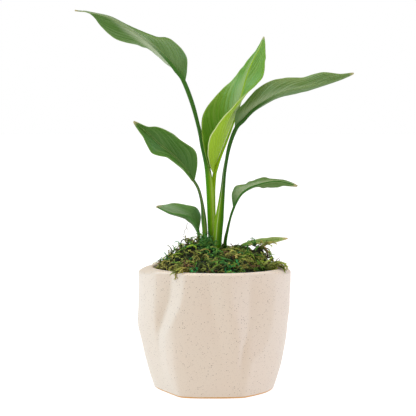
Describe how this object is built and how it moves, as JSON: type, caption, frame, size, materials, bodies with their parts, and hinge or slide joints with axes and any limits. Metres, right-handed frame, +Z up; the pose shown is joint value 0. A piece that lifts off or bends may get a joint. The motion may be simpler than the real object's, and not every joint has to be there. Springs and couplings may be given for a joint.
{
  "type": "potted bird of paradise",
  "caption": "Young bird of paradise plant with arching paddle-shaped leaves on long stalks, in a moss-topped, hand-pinched speckled ceramic pot with a soft hexagonal foot.",
  "frame": {"origin": "centre of the pot's foot, on the surface that the pot stands on", "axes": "+Z up, along the pot's axis; -Y to the front, where the plant is seen with its fan of leaves spread to both sides; +X to the right"},
  "size_m": [0.2764, 0.1498, 0.3775],
  "materials": {
    "stoneware": "satin-matte cream glaze with fine taupe speckles, bare tan clay along the foot",
    "soil": "dark, damp potting mix",
    "moss": "dry preserved moss, matte and feathery, olive with some emerald and brown",
    "leaf_mature": "leathery leaf, satin deep green above, greyer and more matte below",
    "leaf_young": "newest leaf, satin light yellow-green",
    "leaf_pale": "low shaded leaf, pale yellow-green"
  },
  "bodies": {
    "root": {"pot": "stoneware", "soil": "soil", "moss": "moss", "leaf_tall_left": "leaf_mature", "leaf_centre": "leaf_young", "leaf_right": "leaf_mature", "leaf_mid_left": "leaf_mature", "leaf_low_left": "leaf_mature", "leaf_low_right": "leaf_mature", "leaf_in_moss": "leaf_pale"}
  },
  "joints": []
}
